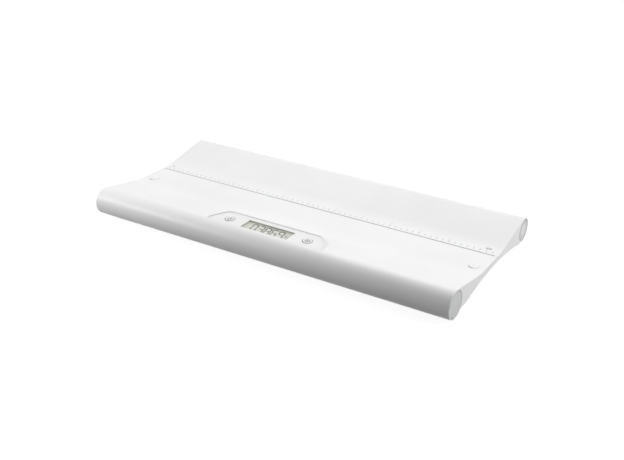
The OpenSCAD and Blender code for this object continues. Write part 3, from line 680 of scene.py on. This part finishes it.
def digit(flat, char, x0):
    """One figure of up to seven bars, its left uprights at x0."""
    t, g = BAR / 2, BAR_GAP
    y0, ym, y1 = DIGIT_LOW, DIGIT_LOW + DIGIT_H / 2, DIGIT_LOW + DIGIT_H
    x1 = x0 + DIGIT_W

    def across(y):
        return [(x0 + g + t, y - t), (x1 - g - t, y - t), (x1 - g, y),
                (x1 - g - t, y + t), (x0 + g + t, y + t), (x0 + g, y)]

    def upright(x, a, b):
        return [(x, a + g), (x + t, a + g + t), (x + t, b - g - t),
                (x, b - g), (x - t, b - g - t), (x - t, a + g + t)]

    places = {"a": across(y1), "g": across(ym), "d": across(y0),
              "b": upright(x1, ym, y1), "c": upright(x1, y0, ym),
              "f": upright(x0, ym, y1), "e": upright(x0, y0, ym)}
    for key in SEGMENTS[char]:
        flat.shape([lean(*p) for p in places[key]])


def display():
    """Five figures, a point and the unit, printed under the window."""
    lcd = Print(lambda x, y: PANEL_TOP)
    for k, char in enumerate(DISPLAY_TEXT):
        digit(lcd, char, DIGIT_X + DIGIT_PITCH * k)
    px, py = lean(DIGIT_X + DIGIT_PITCH * POINT_AFTER + POINT_SHIFT, DIGIT_LOW)
    lcd.bar(px - POINT_HALF, py - POINT_HALF, px + POINT_HALF, py + POINT_HALF)
    k_strokes = (((K_X, K_LOW), (K_X, K_TOP)), K_ARM, K_LEG)
    g_line = ((G_LEFT, G_MIDDLE), (G_LEFT, G_TOP), (G_RIGHT, G_TOP),
              (G_RIGHT, G_TAIL), (G_TAIL_LEFT, G_TAIL))
    g_strokes = (*zip(g_line, g_line[1:]),
                 ((G_LEFT, G_MIDDLE), (G_RIGHT, G_MIDDLE)))
    for a, b in (*k_strokes, *g_strokes):
        lcd.stroke(a, b, UNIT_BAR)
    lcd.made("display_figures", SEGMENT_INK, "body", "display_glass")


def rim_side(y, inward):
    """X of the rim's slanted side, inset by inward."""
    slant = math.radians(RIM_SLANT)
    run = (y - RIM_REAR + RIM_CORNER) * math.sin(slant)
    return RIM_HALF + (RIM_CORNER - inward - run) / math.cos(slant)


def rim_feet():
    """Feet of the console's rim, where it runs out on the front tube: a
    wedge on each side, from the rim's side inwards to past the skirt, that
    slopes down to the face."""
    top = TOP_Z - RIM_FOOT_SINK
    profile = ((RIM_FOOT_FRONT, RIM_FOOT_LOW), (RIM_FOOT_REAR, RIM_FOOT_LOW),
               (RIM_FOOT_SLOPE, FACE_Z + RIM_FOOT_LIFT),
               (RIM_FOOT_CREST, top), (RIM_FOOT_FRONT, top))
    feet, n = Built(), len(profile)
    loops = [list(range(n)), [n + k for k in reversed(range(n))]]
    loops += [[k, n + k, n + (k + 1) % n, (k + 1) % n] for k in range(n)]
    for sign in (-1, 1):
        start = len(feet.verts)
        for inward in (RIM_FOOT_OUTER, RIM_FOOT_INNER):
            feet.verts += [Vector((sign * rim_side(y, inward), y, z)) * MM
                           for y, z in profile]
        for loop in loops:
            turned = loop if sign < 0 else loop[::-1]
            feet.faces.append([start + k for k in turned])
    soften(feet.made("console_rim_feet", CONSOLE, "body", "tray_plastic"))


def power_sign():
    """Broken ring with a bar, printed on the left key."""
    left = Print(surface("power_button"))
    left.ring(-BUTTON_X, BUTTON_Y + POWER_SHIFT, POWER_R, POWER_LINE,
              90 + POWER_GAP, 450 - POWER_GAP, POWER_STEPS)
    left.stroke((-BUTTON_X, BUTTON_Y), (-BUTTON_X, BUTTON_Y + POWER_BAR_H),
                POWER_BAR_W)
    left.made("power_sign", KEY_INK, "power_key", "key_plastic")


def hold_sign():
    """Ring with two bars, printed on the right key."""
    right = Print(surface("hold_button"))
    right.ring(BUTTON_X, BUTTON_Y, HOLD_R, HOLD_LINE, 0, 360, HOLD_STEPS)
    for dx in (-HOLD_BAR_X, HOLD_BAR_X):
        right.stroke((BUTTON_X + dx, BUTTON_Y - HOLD_BAR_HALF),
                     (BUTTON_X + dx, BUTTON_Y + HOLD_BAR_HALF), HOLD_BAR_W)
    right.made("hold_sign", KEY_INK, "hold_key", "key_plastic")


ruler()
display()
rim_feet()
power_sign()
hold_sign()

# ------------------------------------------------------ floor and light
FLOOR_HALF, FLOOR_Z = 8.0, -0.0002
FLOOR_GLOW = 0.91
WORLD_LIGHT = 0.142
MIDDLE, LEFT_END = (0, 0, 0.03), (-0.3, -0.12, 0.03)


def seen_rays(tree):
    """1 for rays that show the background: camera, mirror and glass."""
    path = tree.nodes.new("ShaderNodeLightPath")
    seen = maths(tree, "MAXIMUM", path.outputs["Is Camera Ray"],
                 path.outputs["Is Glossy Ray"])
    return maths(tree, "MAXIMUM", seen, path.outputs["Is Transmission Ray"])


def floor_material():
    """Pale floor: plain to the lamps, white to the camera, with the
    object's shadow kept, and clear from below."""
    mat, tree, shader = new_tree("studio_floor")
    tone = mixed(tree, ranged(tree, noise(tree, object_coords(tree), 3.0),
                              0.0, 1.0),
                 (0.20, 0.20, 0.20), (0.21, 0.21, 0.21))
    tree.links.new(tone, shader.inputs["Base Color"])
    shader.inputs["Roughness"].default_value = 1.0
    shader.inputs["Specular IOR Level"].default_value = 0.0
    shader.inputs["Emission Color"].default_value = (1, 1, 1, 1)
    tree.links.new(maths(tree, "MULTIPLY", seen_rays(tree), FLOOR_GLOW),
                   shader.inputs["Emission Strength"])
    sides = tree.nodes.new("ShaderNodeMixShader")
    out = next(n for n in tree.nodes if n.type == "OUTPUT_MATERIAL")
    tree.links.new(tree.nodes.new("ShaderNodeNewGeometry")
                   .outputs["Backfacing"], sides.inputs[0])
    tree.links.new(shader.outputs[0], sides.inputs[1])
    tree.links.new(tree.nodes.new("ShaderNodeBsdfTransparent").outputs[0],
                   sides.inputs[2])
    tree.links.new(sides.outputs[0], out.inputs["Surface"])
    return mat


def studio_floor():
    """Square floor just under the feet, seen as part of the studio."""
    plane = bpy.data.meshes.new("floor")
    plane.from_pydata([(sx * FLOOR_HALF, sy * FLOOR_HALF, FLOOR_Z)
                       for sx, sy in ((-1, -1), (1, -1), (1, 1), (-1, 1))],
                      [], [(0, 1, 2, 3)])
    plane.materials.append(floor_material())
    floor = bpy.data.objects.new("floor", plane)
    bpy.context.scene.collection.objects.link(floor)


def studio_world():
    """White where it is seen, and a dim even light otherwise."""
    world = bpy.data.worlds.new("studio")
    bpy.context.scene.world = world
    world.use_nodes = True
    tree = world.node_tree
    tree.nodes.clear()
    out = tree.nodes.new("ShaderNodeOutputWorld")
    backdrop = node(tree, "ShaderNodeBackground", Color=(1, 1, 1, 1))
    tree.links.new(backdrop.outputs[0], out.inputs[0])
    tree.links.new(ranged(tree, seen_rays(tree), WORLD_LIGHT, 1.0, 0.0, 1.0),
                   backdrop.inputs["Strength"])


def lamp(name, place, aim, size, power):
    """Rectangular soft lamp, turned to a point."""
    data = bpy.data.lights.new(name, "AREA")
    data.shape = "RECTANGLE"
    data.size, data.size_y = size
    data.energy = power
    obj = bpy.data.objects.new(name, data)
    bpy.context.scene.collection.objects.link(obj)
    obj.location = place
    to = Vector(aim) - Vector(place)
    obj.rotation_euler = to.to_track_quat("-Z", "Y").to_euler()


studio_floor()
studio_world()
lamp("top_back", (-0.3, 1.3, 1.7), MIDDLE, (2.2, 1.6), 14.7)
lamp("low_back", (-0.4, 2.0, 1.0), MIDDLE, (2.2, 1.2), 6.5)
lamp("far_top", (-0.5, 1.0, 4.5), MIDDLE, (3.0, 3.0), 22.7)
lamp("far_back", (0.0, 4.0, 3.2), MIDDLE, (3.0, 2.0), 7.3)
lamp("right_back", (1.4, 1.4, 1.3), (0.1, 0, 0.03), (1.2, 1.0), 9.2)
lamp("right_side", (1.8, 0.5, 0.7), (0.25, 0, 0.03), (0.9, 0.7), 16.6)
lamp("left_high", (-1.5, -0.4, 1.6), MIDDLE, (1.2, 1.2), 6.4)
lamp("left_front", (-0.78, -0.65, 0.45), LEFT_END, (0.5, 0.4), 3.5)
lamp("left_low", (-1.2, -0.5, 0.2), LEFT_END, (0.6, 0.3), 3.7)

# ---------------------------------------------------------------- camera
AZ, EL = math.radians(32.0157), math.radians(26.645)
TARGET = Vector((-0.0021488, 0.02065, -0.0095488))
DISTANCE, FOCAL_PX, FRAME_PX, SENSOR = 1.4844, 907.02, 624, 36.0
CLIP_NEAR, CLIP_FAR = 0.05, 40.0


def photo_camera():
    """Camera at the viewing angle that was solved from the photograph."""
    back = Vector((math.sin(AZ) * math.cos(EL), -math.cos(AZ) * math.cos(EL),
                   math.sin(EL)))
    data = bpy.data.cameras.new("view")
    data.sensor_width = SENSOR
    data.lens = FOCAL_PX / FRAME_PX * SENSOR
    data.clip_start, data.clip_end = CLIP_NEAR, CLIP_FAR
    camera = bpy.data.objects.new("view", data)
    bpy.context.scene.collection.objects.link(camera)
    camera.location = TARGET + back * DISTANCE
    camera.rotation_euler = (-back).to_track_quat("-Z", "Y").to_euler()
    return camera


bpy.context.scene.camera = photo_camera()
bpy.context.scene.view_settings.view_transform = "Standard"
